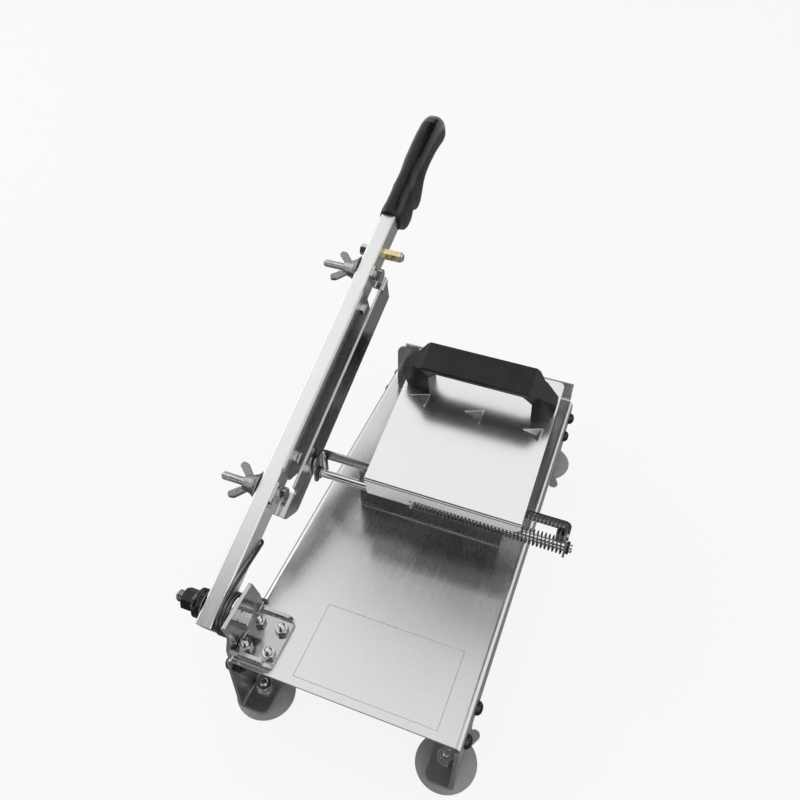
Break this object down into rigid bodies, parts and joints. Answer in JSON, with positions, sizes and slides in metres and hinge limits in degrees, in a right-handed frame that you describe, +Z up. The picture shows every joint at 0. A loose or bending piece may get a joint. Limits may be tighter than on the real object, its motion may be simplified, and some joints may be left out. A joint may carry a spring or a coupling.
{
  "type": "hand crank meat slicer",
  "caption": "Hand meat slicer: a lever arm with blade and stop plate swings down past a trough; a sprung press plate slides on a rod, on a tray with suction feet.",
  "frame": {"origin": "on the table, under the middle of the slicer's overall box at rest", "axes": "+X to the right across the tray, away from the blade arm; +Y from the pivot end to the handle end; +Z up"},
  "size_m": [0.2434, 0.4512, 0.2519],
  "materials": {
    "brushed_sheet": "brushed stainless sheet, folded",
    "satin_bracket": "satin stainless bracket plate",
    "satin_tube": "satin blasted tube",
    "ground_blade": "polished flat with a ground edge",
    "polished_rod": "polished round bar",
    "bright_fastener": "bright stainless fasteners",
    "dark_hardware": "black oxide hardware",
    "cast_nut": "cast nut, tumbled bright",
    "spring_steel": "drawn stainless wire",
    "dark_spring": "oiled black spring wire",
    "brass": "machined brass",
    "grey_rubber": "soft grey rubber",
    "black_grip": "moulded grip with a soft sheen",
    "black_plastic": "moulded matte plastic"
  },
  "bodies": {
    "base": {"base_tray": "brushed_sheet", "foot_bracket_front_left": "satin_bracket", "foot_bracket_front_right": "satin_bracket", "foot_bracket_rear_left": "satin_bracket", "foot_bracket_rear_right": "satin_bracket", "suction_cup_front_left": "grey_rubber", "suction_cup_front_right": "grey_rubber", "suction_cup_rear_left": "grey_rubber", "suction_cup_rear_right": "grey_rubber", "foot_studs": "bright_fastener", "foot_washers": "bright_fastener", "foot_nuts": "bright_fastener", "skirt_bolts": "dark_hardware", "skirt_nuts": "dark_hardware", "pivot_bracket": "satin_bracket", "bracket_bolts": "bright_fastener", "bracket_nuts": "bright_fastener", "pivot_bolt": "bright_fastener", "ear_washer": "dark_hardware", "pivot_washers": "dark_hardware", "pivot_lock_washer": "dark_hardware", "pivot_nut": "dark_hardware", "front_wall": "brushed_sheet", "rear_wall": "brushed_sheet", "wall_screws": "bright_fastener", "wall_nuts": "bright_fastener", "guide_rod": "polished_rod", "rod_clips": "dark_hardware", "feed_spring": "spring_steel"},
    "arm": {"arm_tube": "satin_tube", "pivot_bush": "brass", "handle_grip": "black_grip", "blade": "ground_blade", "stop_plate": "brushed_sheet", "stop_plate_screws": "bright_fastener", "wing_bolts": "bright_fastener", "wing_bolt_washers": "bright_fastener", "brass_standoff": "brass", "standoff_screw": "bright_fastener", "standoff_end_screw": "bright_fastener", "torsion_spring": "dark_spring"},
    "wing_nut_lower": {"wing_nut_lower": "cast_nut"},
    "wing_nut_upper": {"wing_nut_upper": "cast_nut"},
    "slider": {"thrust_washer": "bright_fastener"},
    "press_plate": {"press_plate": "brushed_sheet", "press_handle": "black_plastic", "press_handle_screws": "bright_fastener"}
  },
  "joints": [
    {"name": "arm_swing", "type": "hinge", "parent": "base", "child": "arm", "pos_m": [-0.08475, -0.20057, 0.0907], "axis": [1, 0, 0], "range_deg": [-20.24, 60], "stiffness_Nm_per_rad": 2, "springref_deg": 51.57, "deforming": ["torsion_spring"]},
    {"name": "wing_nut_lower_turn", "type": "hinge", "parent": "arm", "child": "wing_nut_lower", "pos_m": [-0.09725, -0.12007, 0.12038], "axis": [1, 0, 0], "continuous": true},
    {"name": "wing_nut_upper_turn", "type": "hinge", "parent": "arm", "child": "wing_nut_upper", "pos_m": [-0.09725, 0.05876, 0.18632], "axis": [1, 0, 0], "continuous": true},
    {"name": "press_slide", "type": "slide", "parent": "base", "child": "slider", "axis": [1, 0, 0], "range_m": [-0.033, 0.028], "deforming": ["feed_spring"]},
    {"name": "press_tilt", "type": "hinge", "parent": "slider", "child": "press_plate", "pos_m": [0.00675, -0.07907, 0.102], "axis": [1, 0, 0], "range_deg": [-40, 110]}
  ]
}
